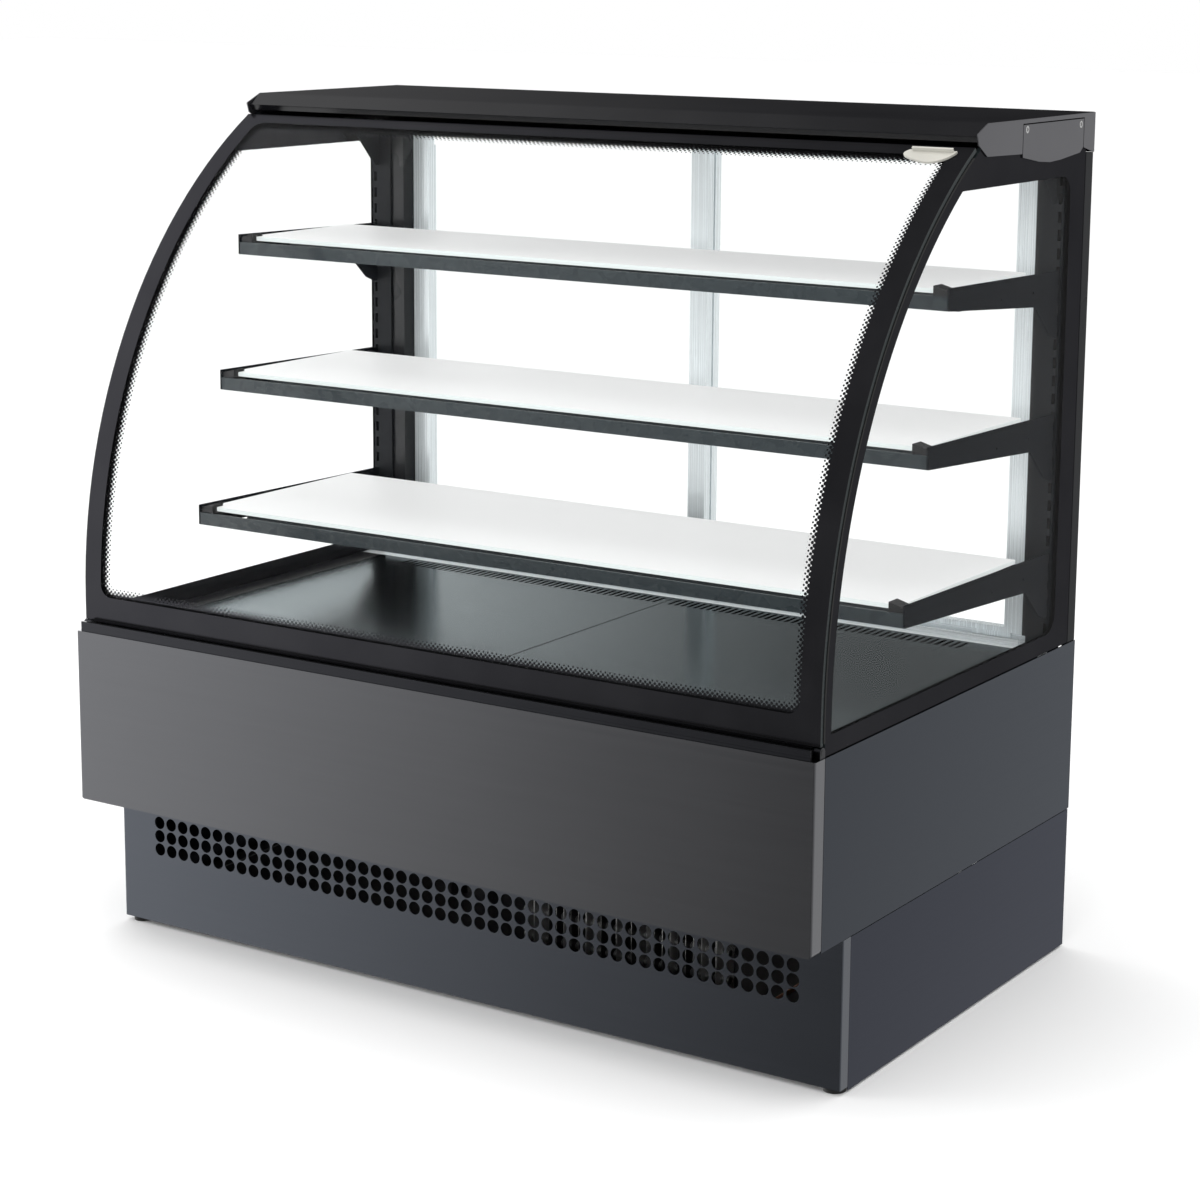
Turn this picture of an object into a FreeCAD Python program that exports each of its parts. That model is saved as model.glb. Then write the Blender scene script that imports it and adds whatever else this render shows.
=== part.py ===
import FreeCAD, Part

import math
import os

from FreeCAD import Vector

# Refrigerated bakery display case, 1.2 m wide, with curved tilting front glass, three shelves,
# a cooled deck over a well, rear sliding doors and a condensing unit in the plinth.
# Millimetres, +Z up, +X to the right seen from the front. While the parts are drawn, y runs from
# the front face of the bumper (0) to the back (DEPTH). save() then moves each part by half the
# depth, so the finished origin is the middle of the footprint on the floor and the front faces -Y.

# Overall size
WIDTH = 1200.0
DEPTH = 760.0
HEIGHT = 1200.0
HALF = WIDTH / 2

# Sheet metal and running gaps
SHEET = 1.2
SEAM = 0.5
SIDE_SEAM = 1.0
CLAMP_GAP = 1.6
RUNNING_GAP = 0.05

# Heights
SIDE_BOTTOM = 3.0
PLINTH_BOTTOM = 8.0
BODY_SPLIT = 207.5
BODY_TOP = 456.0
WELL_BASE = 300.0
DECK_TOP = 459.0
RIM_BASE = 450.0
GLASS_BASE = 457.0
POST_TOP = 1145.0
CEILING = 1157.0
ROOF_TOP = HEIGHT

# Depths, measured from the bumper face
BUMPER_DEPTH = 24.0
PLINTH_FRONT = 85.0
PLINTH_RETURN = 20.0
REAR_PANEL_Y = 752.0
UPRIGHT_FRONT = 686.0
REAR_POST_FRONT = 737.0
PLINTH_HALF = HALF - 1.3

# Intake grille of the plinth
GRILLE_COLUMNS = 49
GRILLE_PITCH_X = 22.0
GRILLE_PITCH_Z = 20.2
GRILLE_TOP = 161.0
GRILLE_ROWS = 3
GRILLE_RADIUS = 9.25

# Base frame of square tube, and the levelling feet screwed into its posts
TUBE = 25.0
TUBE_WALL = 1.5
POST = 30.0
POST_X = HALF - 20.0
POST_Y = (PLINTH_FRONT + 20.0, DEPTH - 25.0)
POST_BOTTOM = 10.0
POST_PLUG = 25.0
STUD_RADIUS = 5.0
FOOT_RADIUS = 15.0

# Insulated well under the deck
WELL_FRONT = 30.0
WELL_BACK = 700.0
WELL_HALF = 585.0
FOAM = 30.0
LINER = 1.0

# Deck pans
PAN_FRONT = 40.5
PAN_BACK = 652.5
PAN_HALF = 552.0
PAN_FOLD = 9.0
SLOT_Y = 628.0
SLOT_LENGTH = 36.0
SLOT_WIDTH = 5.5
SLOT_PITCH = 11.0
SLOT_COUNT = 44
SLOT_FIRST = 14.0

# Curved front glass: a straight foot, then one arc up to the roof
GLASS = 6.0
FRONT_GLASS_Y = 17.0
ARC_RADIUS = 785.0
ARC_Y = FRONT_GLASS_Y + ARC_RADIUS
ARC_Z = 500.0
ARC_ANGLE = math.radians(58.6)
FRONT_GLASS_HALF = 597.0
HINGE_Y = 20.0
HINGE_Z = 464.0
HINGE_BODY_RADIUS = 7.0
HINGE_PIN_RADIUS = 4.0
PROFILE_HALF = 588.0
SIDE_GLASS_OUTER = 598.0
SIDE_ARC_RADIUS = 775.0
SEAL_RADIUS = 778.4

# Shelves: bracket front, glass top and glass back
SHELVES = {
    "upper": (353.0, 991.0, 606.0),
    "middle": (306.0, 793.0, 606.0),
    "lower": (252.0, 597.0, 603.0),
}
SHELF_HALF = 575.0
SHELF_SETBACK = 12.0
BRACKET_X = 584.0
BRACKET_T = 3.0
RAIL_SETBACK = 75.0
UPRIGHT_SLOT_PITCH = 25.0
UPRIGHT_SLOT_FIRST = 485.0
UPRIGHT_SLOT_COUNT = 27
UPRIGHT_SLOT_HEIGHT = 15.0
HOOK_HEIGHT = 11.0

# Rear sliding doors on two tracks
TRACK_HALF = 555.5
DOOR_T = 16.0
FRONT_DOOR_Y = 694.0
REAR_DOOR_Y = 716.0
DOOR_BOTTOM = 469.5
DOOR_TOP = 1146.0
STILE = 29.0
DOOR_FOOT_RAIL = 7.5
DOOR_HEAD_RAIL = 21.0
PULL_Z = (490.0, 1110.0)
PULL_LIP = 5.0
RIGHT_DOOR_X = (-6.0, 549.0)
LEFT_DOOR_X = (-533.0, 22.0)

# Cooling machinery
FAN_X = 240.0
FAN_Z = 150.0
CONDENSER_FAN_RADIUS = 100.0
EVAPORATOR_FAN_X = 260.0
EVAPORATOR_FAN_Z = 388.0
EVAPORATOR_FAN_RADIUS = 46.0
SHAFT_RADIUS = 3.0

# Rear control panel
PANEL_X = -350.0
PANEL_Z = 385.0
PANEL_HALF_WIDTH = 105.0
PANEL_HALF_HEIGHT = 36.0
PANEL_FACE = 756.0
ROCKER_TILT = 7.0
ROCKER_X = (-425.0, -401.0)
ROCKER_HALF_WIDTH = 7.0
ROCKER_HALF_HEIGHT = 13.0
BUTTON_X = (-300.0, -284.0, -268.0)
BUTTON_Z = 366.0
BUTTON_RADIUS = 4.5

# Cable gland
GLAND_X = 520.0
GLAND_Z = 55.0
GLAND_RADIUS = 9.0
CABLE_RADIUS = 4.0

X_AXIS = Vector(1, 0, 0)
Y_AXIS = Vector(0, 1, 0)
Z_AXIS = Vector(0, 0, 1)


# Small drawing helpers

def box(x0, x1, y0, y1, z0, z1):
    return Part.makeBox(x1 - x0, y1 - y0, z1 - z0, Vector(x0, y0, z0))


def rod(radius, start, axis, length):
    return Part.makeCylinder(radius, length, Vector(*start), axis)


def prism_x(points, x0, x1):
    """Extrudes a (y, z) outline along x."""
    wire = Part.makePolygon([Vector(x0, y, z) for y, z in points + points[:1]])
    return Part.Face(wire).extrude(Vector(x1 - x0, 0, 0))


def prism_y(points, y0, y1):
    """Extrudes an (x, z) outline along y."""
    wire = Part.makePolygon([Vector(x, y0, z) for x, z in points + points[:1]])
    return Part.Face(wire).extrude(Vector(0, y1 - y0, 0))


def folded_x(points, thickness, x0, x1):
    """Extrudes a sheet along x whose cross-section follows (y, z) points."""
    wire = Part.makePolygon([Vector(x0, y, z) for y, z in points])
    face = wire.makeOffset2D(thickness, join=2, fill=True, openResult=True)
    return face.extrude(Vector(x1 - x0, 0, 0))


def mirrored(shape):
    return shape.mirror(Vector(0, 0, 0), X_AXIS)


def pair(shape):
    return [shape, mirrored(shape)]


def fused(shapes):
    return shapes[0].multiFuse(shapes[1:]).removeSplitter()


def filleted(shape, radius, wanted):
    edges = [edge for edge in shape.Edges if wanted(edge.CenterOfMass, edge)]
    return shape.makeFillet(radius, edges)


def along(edge, axis):
    first, last = (vertex.Point for vertex in (edge.Vertexes[0], edge.Vertexes[-1]))
    run = last - first
    return run.Length > 0 and abs(run.normalize().dot(axis)) > 0.999


def rounded_front_box(x_half, y0, y1, z0, z1, radius):
    """A block whose two vertical front edges are bent to a radius."""
    block = box(-x_half, x_half, y0, y1, z0, z1)
    return filleted(block, radius, lambda c, e: along(e, Z_AXIS) and abs(c.y - y0) < 0.01)


def arc_point(radius, angle):
    return ARC_Y - radius * math.cos(angle), ARC_Z + radius * math.sin(angle)


def angle_at_height(radius, z):
    return math.asin((z - ARC_Z) / radius)


def arc_edge(radius, start, end, x):
    """The part of the glass arc between two angles above its centre."""
    middle = (start + end) / 2
    points = [Vector(x, *arc_point(radius, angle)) for angle in (start, middle, end)]
    return Part.Arc(*points).toShape()


def line_edge(x, start, end):
    return Part.makeLine(Vector(x, *start), Vector(x, *end))


def save(name, *shapes):
    solids = [solid for shape in shapes for solid in shape.Solids]
    assert solids and all(solid.isValid() and solid.Volume > 0 for solid in solids), name
    whole = solids[0] if len(solids) == 1 else Part.makeCompound(solids)
    whole.translate(Vector(0, -DEPTH / 2, 0))
    whole.exportStep(os.path.join("parts", name + ".step"))
    print(name, len(solids), "solids", round(sum(solid.Volume for solid in solids) / 1000), "cm3")


# Base frame, feet and outer panels

def tube(x0, x1, y0, y1, z0, z1, axis):
    """A square tube open at both ends of its own axis."""
    wall = TUBE_WALL
    margins = [(0 if axis == name else wall) for name in "xyz"]
    dx, dy, dz = margins
    outer = box(x0, x1, y0, y1, z0, z1)
    return outer.cut(box(x0 + dx, x1 - dx, y0 + dy, y1 - dy, z0 + dz, z1 - dz))


def frame_post(x, y):
    half = POST / 2
    outer = box(x - half, x + half, y - half, y + half, POST_BOTTOM, WELL_BASE - 2)
    inner = half - TUBE_WALL
    hollow = box(x - inner, x + inner, y - inner, y + inner, POST_BOTTOM + POST_PLUG, WELL_BASE)
    bore = rod(STUD_RADIUS + RUNNING_GAP, (x, y, POST_BOTTOM - 1), Z_AXIS, POST_PLUG + 2)
    return outer.cut([hollow, bore])


def base_frame():
    pieces = [frame_post(x, y) for x in (-POST_X, POST_X) for y in POST_Y]
    inner_x = POST_X - POST / 2
    front, back = POST_Y
    for z in (12.0, WELL_BASE - 2 - TUBE):
        for y in (front - 13, back - 12):
            pieces.append(tube(-inner_x, inner_x, y, y + TUBE, z, z + TUBE, "x"))
        for x in (-POST_X - 13, POST_X - 12):
            pieces.append(tube(x, x + TUBE, front + POST / 2, back - POST / 2, z, z + TUBE, "y"))
    save("base_frame", *pieces)


def levelling_foot(name, x, y):
    disc = rod(FOOT_RADIUS, (x, y, 0), Z_AXIS, 5.5)
    disc = filleted(disc, 1.0, lambda c, e: abs(c.z - 5.5) < 0.01)
    corners = [math.radians(60 * k) for k in range(6)]
    hexagon = Part.makePolygon([Vector(x + 9.8 * math.cos(a), y + 9.8 * math.sin(a), 5.5)
                                for a in corners + corners[:1]])
    nut = Part.Face(hexagon).extrude(Vector(0, 0, 4.0))
    stud = rod(STUD_RADIUS, (x, y, 5.0), Z_AXIS, 29.0)
    save(name, fused([disc, nut, stud]))


def base_tray():
    save("base_tray", box(-564, 564, 92, 748, 37, 37 + SHEET))


def plinth_front_panel():
    back = PLINTH_FRONT + PLINTH_RETURN - SEAM
    top = BODY_SPLIT - SEAM
    outer = rounded_front_box(PLINTH_HALF, PLINTH_FRONT, back, PLINTH_BOTTOM, top, 2.0)
    inner = rounded_front_box(PLINTH_HALF - SHEET, PLINTH_FRONT + SHEET, back + 5,
                              PLINTH_BOTTOM - 1, top + 1, 2.0 - SHEET)
    holes = []
    for column in range(GRILLE_COLUMNS):
        x = (column - (GRILLE_COLUMNS - 1) / 2) * GRILLE_PITCH_X
        for row in range(GRILLE_ROWS):
            z = GRILLE_TOP - row * GRILLE_PITCH_Z
            holes.append(rod(GRILLE_RADIUS, (x, PLINTH_FRONT - 1, z), Y_AXIS, 5))
    save("plinth_front_panel", outer.cut(inner).cut(Part.makeCompound(holes)))


def side_sheet(outer_x, y0, z0, z1, fold):
    """A side panel and the fold turned in along its back edge, which meet face to face."""
    plate = box(outer_x - SHEET, outer_x, y0, DEPTH, z0, z1)
    back_fold = box(outer_x - fold, outer_x - SHEET, DEPTH - SHEET, DEPTH, z0, z1)
    return [plate, back_fold]


def side_panels():
    lower = side_sheet(PLINTH_HALF, PLINTH_FRONT + PLINTH_RETURN, SIDE_BOTTOM,
                       BODY_SPLIT - SIDE_SEAM, 20.0)
    save("plinth_side_panels", *lower, *map(mirrored, lower))
    upper = side_sheet(HALF, BUMPER_DEPTH + SIDE_SEAM, BODY_SPLIT + SIDE_SEAM, BODY_TOP, 20.0)
    save("upper_side_panels", *upper, *map(mirrored, upper))


def bumper_front_panel():
    outer = rounded_front_box(HALF, 0, BUMPER_DEPTH, BODY_SPLIT, BODY_TOP, 2.5)
    slab = box(-HALF, HALF, -1, BUMPER_DEPTH + 1, BODY_SPLIT, BODY_TOP)
    slab = filleted(slab, 6.0, lambda c, e: along(e, Y_AXIS) and abs(c.z - BODY_SPLIT) < 0.01)
    outer = outer.common(slab)
    inner = rounded_front_box(HALF - SHEET, SHEET, BUMPER_DEPTH + 5, BODY_SPLIT + SHEET,
                              BODY_TOP - SHEET, 2.5 - SHEET)
    lip_gap = box(-HALF + SHEET, HALF - SHEET, 11, BUMPER_DEPTH + 5, BODY_TOP - 5, BODY_TOP + 1)
    underside = box(-HALF + 6, HALF - 6, BUMPER_DEPTH - 1, PLINTH_FRONT - SEAM,
                    BODY_SPLIT, BODY_SPLIT + SHEET)
    save("bumper_front_panel", fused([outer.cut([inner, lip_gap]), underside]))


def rear_panels():
    grille = box(-590, 590, REAR_PANEL_Y, REAR_PANEL_Y + SHEET, 12, WELL_BASE - 1)
    slots = []
    for column in range(5):
        x = (column - 2) * 200.0
        for row in range(10):
            z = 80.0 + row * 18.0
            slots.append(box(x - 70, x + 70, REAR_PANEL_Y - 1, REAR_PANEL_Y + 5, z, z + 6))
    slots.append(rod(GLAND_RADIUS + 0.3, (GLAND_X, REAR_PANEL_Y - 1, GLAND_Z), Y_AXIS, 5))
    save("rear_grille_panel", grille.cut(Part.makeCompound(slots)))
    upper = box(-578, 578, REAR_PANEL_Y, REAR_PANEL_Y + SHEET, WELL_BASE, BODY_TOP - 1)
    window = box(PANEL_X - PANEL_HALF_WIDTH + 8, PANEL_X + PANEL_HALF_WIDTH - 8, REAR_PANEL_Y - 1,
                 REAR_PANEL_Y + 5, PANEL_Z - PANEL_HALF_HEIGHT + 8, PANEL_Z + PANEL_HALF_HEIGHT - 8)
    save("rear_upper_panel", upper.cut(window))


# Insulated well and deck

def tub(half, y0, y1, z0, z1, wall):
    """Five plates that meet face to face and make an open-topped tub."""
    return [
        box(-half, half, y0, y1, z0, z0 + wall),
        box(-half, half, y0, y0 + wall, z0 + wall, z1),
        box(-half, half, y1 - wall, y1, z0 + wall, z1),
        box(-half, -half + wall, y0 + wall, y1 - wall, z0 + wall, z1),
        box(half - wall, half, y0 + wall, y1 - wall, z0 + wall, z1),
    ]


def well():
    save("insulation_tub", *tub(WELL_HALF, WELL_FRONT, WELL_BACK, WELL_BASE, RIM_BASE, FOAM))
    save("well_liner", *tub(WELL_HALF - FOAM, WELL_FRONT + FOAM, WELL_BACK - FOAM,
                            WELL_BASE + FOAM, RIM_BASE, LINER))


def deck_rim():
    rim_half = PAN_HALF + SEAM
    side = box(PAN_HALF + 1, 591.5, WELL_FRONT, UPRIGHT_FRONT - 2, RIM_BASE, DECK_TOP)
    front = box(-rim_half, rim_half, WELL_FRONT + 1, PAN_FRONT - SEAM, RIM_BASE, DECK_TOP)
    back = box(-rim_half, rim_half, PAN_BACK + SEAM, 664.5, RIM_BASE, DECK_TOP)
    sill = box(-rim_half, rim_half, 665, 736, RIM_BASE, DECK_TOP)
    rear_sill = box(-TRACK_HALF, TRACK_HALF, 736.5, 751.5, RIM_BASE - 10, DECK_TOP)
    save("deck_rim", *pair(side), front, back, sill, rear_sill)


def deck_pan():
    x0 = 0.75
    top = box(x0, PAN_HALF, PAN_FRONT, PAN_BACK, DECK_TOP - SHEET, DECK_TOP)
    low = DECK_TOP - PAN_FOLD
    folds = [
        box(x0, PAN_HALF, PAN_FRONT, PAN_FRONT + SHEET, low, DECK_TOP),
        box(x0, PAN_HALF, PAN_BACK - SHEET, PAN_BACK, low, DECK_TOP),
        box(x0, x0 + SHEET, PAN_FRONT, PAN_BACK, low, DECK_TOP),
        box(PAN_HALF - SHEET, PAN_HALF, PAN_FRONT, PAN_BACK, low, DECK_TOP),
    ]
    slots = []
    half_width = SLOT_WIDTH / 2
    straight = SLOT_LENGTH / 2 - half_width
    for k in range(SLOT_COUNT):
        x = SLOT_FIRST + k * SLOT_PITCH
        slots.append(box(x - half_width, x + half_width, SLOT_Y - straight, SLOT_Y + straight,
                         DECK_TOP - 5, DECK_TOP + 1))
        for y in (SLOT_Y - straight, SLOT_Y + straight):
            slots.append(rod(half_width, (x, y, DECK_TOP - 5), Z_AXIS, 6))
    return fused([top] + folds).cut(Part.makeCompound(slots))


def deck_pans():
    pan = deck_pan()
    save("deck_pan_left", mirrored(pan))
    save("deck_pan_right", pan)


# Glass, posts and roof

def front_glass():
    x = -FRONT_GLASS_HALF
    outer, inner = ARC_RADIUS, ARC_RADIUS - GLASS
    foot = HINGE_Z + HINGE_BODY_RADIUS
    back_y = FRONT_GLASS_Y + GLASS
    edges = [
        line_edge(x, (FRONT_GLASS_Y, foot), (FRONT_GLASS_Y, ARC_Z)),
        arc_edge(outer, 0, ARC_ANGLE, x),
        line_edge(x, arc_point(outer, ARC_ANGLE), arc_point(inner, ARC_ANGLE)),
        arc_edge(inner, 0, ARC_ANGLE, x),
        line_edge(x, (back_y, ARC_Z), (back_y, foot)),
        line_edge(x, (back_y, foot), (FRONT_GLASS_Y, foot)),
    ]
    wire = Part.Wire(Part.__sortEdges__(edges))
    save("front_glass", Part.Face(wire).extrude(Vector(2 * FRONT_GLASS_HALF, 0, 0)))


def glass_profile():
    """The extrusion under the glass: round below its hinge axis, and flat in front above it."""
    start_x = -PROFILE_HALF
    front_y = HINGE_Y - HINGE_BODY_RADIUS
    glass_back = FRONT_GLASS_Y + GLASS
    flange_back = glass_back + 2
    seat_z = HINGE_Z + 6.8
    flange_z = HINGE_Z + 28
    reach = flange_back - HINGE_Y
    back_z = HINGE_Z + math.sqrt(HINGE_BODY_RADIUS ** 2 - reach ** 2)
    corners = [(front_y, HINGE_Z), (front_y, seat_z), (glass_back, seat_z), (glass_back, flange_z),
               (flange_back, flange_z), (flange_back, back_z)]
    edges = [line_edge(start_x, start, end) for start, end in zip(corners, corners[1:])]
    underside = Part.Arc(Vector(start_x, *corners[-1]),
                         Vector(start_x, HINGE_Y, HINGE_Z - HINGE_BODY_RADIUS),
                         Vector(start_x, *corners[0])).toShape()
    section = Part.Face(Part.Wire([*edges, underside]))
    return section.extrude(Vector(2 * PROFILE_HALF, 0, 0))


def sill_trim():
    """A fixed strip on the bumper, shallow enough for the glass to lean over it when it opens."""
    half = HALF - 8
    return box(-half, half, 1.2, 6, BODY_TOP, 470)


def glass_hinge():
    profile = glass_profile()
    bores = [rod(HINGE_PIN_RADIUS, (x, HINGE_Y, HINGE_Z), X_AXIS, 28)
             for x in (-PROFILE_HALF, PROFILE_HALF - 28)]
    save("glass_hinge_profile", profile.cut(bores))
    pin_start = PROFILE_HALF - 28
    pin_length = HALF - 1 - pin_start
    pin = rod(HINGE_PIN_RADIUS, (pin_start, HINGE_Y, HINGE_Z), X_AXIS, pin_length)
    save("hinge_pins", *pair(pin))
    half = 6.4
    stem = box(PROFILE_HALF + 1, HALF - 1.3, HINGE_Y - half, HINGE_Y + half, 430, HINGE_Z)
    head = rod(half, (PROFILE_HALF + 1, HINGE_Y, HINGE_Z), X_AXIS, HALF - 2.3 - PROFILE_HALF)
    bore = rod(HINGE_PIN_RADIUS + RUNNING_GAP, (PROFILE_HALF, HINGE_Y, HINGE_Z), X_AXIS, 20)
    save("hinge_blocks", *pair(fused([stem, head]).cut(bore)), sill_trim())


def glass_grip():
    """A half-oval finger plate bonded to the outside of the glass at its top right corner."""
    width, drop, proud = 66.0, 25.0, 3.0
    left = 512.0
    outline = [Vector(left, 0, 0), Vector(left - 6, 0, -9), Vector(left + 14, 0, -21),
               Vector(left + 36, 0, -drop), Vector(left + 52, 0, -19), Vector(left + width, 0, 0)]
    curve = Part.BSplineCurve()
    curve.interpolate(outline)
    edge = curve.toShape()
    top = Part.makeLine(outline[-1], outline[0])
    plate = Part.Face(Part.Wire([edge, top])).extrude(Vector(0, -proud, 0))
    lip = box(left + 4, left + width - 4, -proud - 5, -proud + 0.5, -3, 0)
    shape = fused([plate, lip])
    tilt = math.degrees(ARC_ANGLE) - 1.0
    shape.rotate(Vector(0, 0, 0), X_AXIS, -tilt)
    y, z = arc_point(ARC_RADIUS, math.radians(tilt))
    shape.translate(Vector(0, y - 0.1, z + 0.1))
    glass = Part.makeCylinder(ARC_RADIUS, 2 * HALF, Vector(-HALF, ARC_Y, ARC_Z), X_AXIS)
    save("glass_grip", shape.cut(glass))


def side_glass():
    x = SIDE_GLASS_OUTER - GLASS
    front = ARC_Y - SIDE_ARC_RADIUS
    top = CEILING + 15
    end = angle_at_height(SIDE_ARC_RADIUS, top)
    back = REAR_POST_FRONT - 1
    edges = [
        line_edge(x, (front, GLASS_BASE), (front, ARC_Z)),
        arc_edge(SIDE_ARC_RADIUS, 0, end, x),
        line_edge(x, arc_point(SIDE_ARC_RADIUS, end), (back, top)),
        line_edge(x, (back, top), (back, GLASS_BASE)),
        line_edge(x, (back, GLASS_BASE), (front, GLASS_BASE)),
    ]
    return Part.Face(Part.Wire(edges)).extrude(Vector(GLASS, 0, 0))


def side_seal():
    """A rubber strip on the front edge of the side glass, just clear of the front glass."""
    x = SIDE_GLASS_OUTER - GLASS
    end = angle_at_height(SIDE_ARC_RADIUS, CEILING)
    outer_end = angle_at_height(SEAL_RADIUS, CEILING)
    inner_y, outer_y = ARC_Y - SIDE_ARC_RADIUS, ARC_Y - SEAL_RADIUS
    foot = HINGE_Z + 10
    edges = [
        line_edge(x, (outer_y, foot), (outer_y, ARC_Z)),
        arc_edge(SEAL_RADIUS, 0, outer_end, x),
        line_edge(x, arc_point(SEAL_RADIUS, outer_end), arc_point(SIDE_ARC_RADIUS, end)),
        arc_edge(SIDE_ARC_RADIUS, 0, end, x),
        line_edge(x, (inner_y, ARC_Z), (inner_y, foot)),
        line_edge(x, (inner_y, foot), (outer_y, foot)),
    ]
    wire = Part.Wire(Part.__sortEdges__(edges))
    return Part.Face(wire).extrude(Vector(GLASS, 0, 0))


def side_glazing():
    save("side_glasses", *pair(side_glass()))
    save("side_seals", *pair(side_seal()))


def roof_panel():
    outline = [(DEPTH, POST_TOP + 0.4), (DEPTH, ROOF_TOP), (421, ROOF_TOP), (397, 1184), (404, 1176)]
    sheet = folded_x(outline, -SHEET, -HALF + 1.7, HALF - 1.7)
    save("roof_panel", sheet)


def roof_side_cover():
    outline = [(422, 1199.5), (393, 1187), (392.5, 1185), (396.5, 1172.6), (421, 1158),
               (423, CEILING), (528.6, 1154.7), (580, 1142), (615, 1139.5), (650, 1141),
               (712, 1147), (722, 1154), (757, 1145.4), (DEPTH, 1145.5), (DEPTH, 1199.5)]
    return prism_x(outline, SIDE_GLASS_OUTER + 0.5, HALF)


def clamp_outline(grow):
    """The (y, z) outline of the glass clamp plate, or of its window when it is grown."""
    return [(529 - grow, 1192.4 + grow), (529 - grow, 1150 - grow), (580, 1142 - grow),
            (615, 1139.5 - grow), (650, 1141 - grow), (712, 1147 - grow), (722 + grow, 1154),
            (722 + grow, 1192.4 + grow)]


def roof_sides():
    cover = roof_side_cover()
    x0, x1 = SIDE_GLASS_OUTER + 0.5, HALF
    window = prism_x(clamp_outline(CLAMP_GAP), x0 - 1, x1 + 1)
    cover = max(cover.cut(window).Solids, key=lambda solid: solid.Volume)
    screw_places = [(541, 1186), (713, 1185)]
    holes = [rod(5.4, (x0 - 1, y, z), X_AXIS, 5) for y, z in screw_places]
    clamp = prism_x(clamp_outline(0), x0, x1).cut(holes)
    save("roof_side_covers", *pair(cover), *pair(clamp))
    screws = []
    for y, z in screw_places:
        head = rod(5.0, (x0, y, z), X_AXIS, x1 - x0)
        points = [Vector(x0 + 0.5, y + 2.9 * math.cos(math.radians(60 * k)),
                         z + 2.9 * math.sin(math.radians(60 * k))) for k in range(7)]
        socket = Part.Face(Part.makePolygon(points)).extrude(Vector(3, 0, 0))
        screws += pair(head.cut(socket))
    save("cover_screws", *screws)


def ceiling_and_light():
    save("ceiling_panel", box(-591, 591, 424, UPRIGHT_FRONT - 0.5, CEILING, CEILING + SHEET))
    profile = box(-540, 540, 440, 460, CEILING - 8, CEILING)
    groove = box(-541, 541, 443, 457, CEILING - 9, CEILING - 3)
    diffuser = box(-540, 540, 443, 457, CEILING - 9, CEILING - 5)
    save("led_light", profile.cut(groove), diffuser)


# Shelves

def shelf_glass(name, front, top, back):
    save("shelf_glass_" + name,
         box(-SHELF_HALF, SHELF_HALF, front + SHELF_SETBACK, back, top - GLASS, top))


def hook_levels(bottom, top):
    centres = [UPRIGHT_SLOT_FIRST + k * UPRIGHT_SLOT_PITCH for k in range(UPRIGHT_SLOT_COUNT)]
    inside = [z for z in centres if bottom + 8 < z < top - 8]
    return [inside[0], inside[-1]]


def shelf_bracket(front, top):
    """A side bracket: a long tapering plate, a lip under the glass and two hooks."""
    root_top = top - 4
    root_bottom = top - 96
    outline = [(front, top - 26.5), (614, top - 47), (660, top - 88), (680, root_bottom),
               (UPRIGHT_FRONT, root_bottom), (UPRIGHT_FRONT, root_top), (front, top + 3)]
    plate = prism_x(outline, BRACKET_X, BRACKET_X + BRACKET_T)
    hooks = [box(BRACKET_X, BRACKET_X + BRACKET_T, UPRIGHT_FRONT - 1, UPRIGHT_FRONT + 7,
                 z - HOOK_HEIGHT / 2, z + HOOK_HEIGHT / 2)
             for z in hook_levels(root_bottom, root_top)]
    lip = box(566, BRACKET_X, front + 30, 600, top - GLASS - 2, top - GLASS)
    holes = [rod(2.0, (BRACKET_X - 1, y, top - 27), X_AXIS, 6) for y in (507, 605)]
    return fused([plate, lip] + hooks).cut(holes)


def shelf_rail(front, top):
    """The folded cross rail that carries the glass, set back from the bracket fronts."""
    y = front + RAIL_SETBACK
    low, high = top - 36, top - GLASS
    rise = high - low
    outline = [(y + 14, low + 2), (y, low), (y + rise, high - 2), (y + rise + 22, high - 2)]
    return folded_x(outline, 2.0, -565, 565)


def ticket_strip(front, top):
    return box(-BRACKET_X + 0.2, BRACKET_X - 0.2, front, front + 2, top - 26.5, top - 8)


def shelf_clip(front, top):
    """A clip that holds a front corner of the glass to the bracket, waisted towards it."""
    outline = [(562, top - 12), (573, top - 10), (BRACKET_X, top - 7), (BRACKET_X, top - 1),
               (573, top + 2), (562, top + 5)]
    body = prism_y(outline, front + 2.1, front + 26)
    glass = box(-SHELF_HALF, SHELF_HALF, front + SHELF_SETBACK, 700, top - GLASS, top)
    return body.cut(glass)


def shelf_uprights():
    slots = [box(583, 588, UPRIGHT_FRONT - 1, UPRIGHT_FRONT + 3,
                 z - UPRIGHT_SLOT_HEIGHT / 2, z + UPRIGHT_SLOT_HEIGHT / 2)
             for z in (UPRIGHT_SLOT_FIRST + k * UPRIGHT_SLOT_PITCH
                       for k in range(UPRIGHT_SLOT_COUNT))]
    outer = box(556.5, 591, UPRIGHT_FRONT, 732, DECK_TOP + 0.5, CEILING + 8)
    inner = box(558.5, 589, UPRIGHT_FRONT + 2, 740, DECK_TOP, CEILING + 9)
    channel = outer.cut(inner).cut(Part.makeCompound(slots))
    gusset = prism_x([(603, CEILING), (677, 1078), (UPRIGHT_FRONT, 1078), (UPRIGHT_FRONT, CEILING)],
                     578, 580)
    save("shelf_uprights", *pair(channel), *pair(gusset))


def shelves():
    brackets, rails, strips, clips = [], [], [], []
    for name, (front, top, back) in SHELVES.items():
        shelf_glass(name, front, top, back)
        brackets += pair(shelf_bracket(front, top))
        rails.append(shelf_rail(front, top))
        strips.append(ticket_strip(front, top))
        clips += pair(shelf_clip(front, top))
    save("shelf_brackets", *brackets)
    save("shelf_rails", *rails)
    save("ticket_strips", *strips)
    save("shelf_clips", *clips)


# Rear doors

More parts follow.
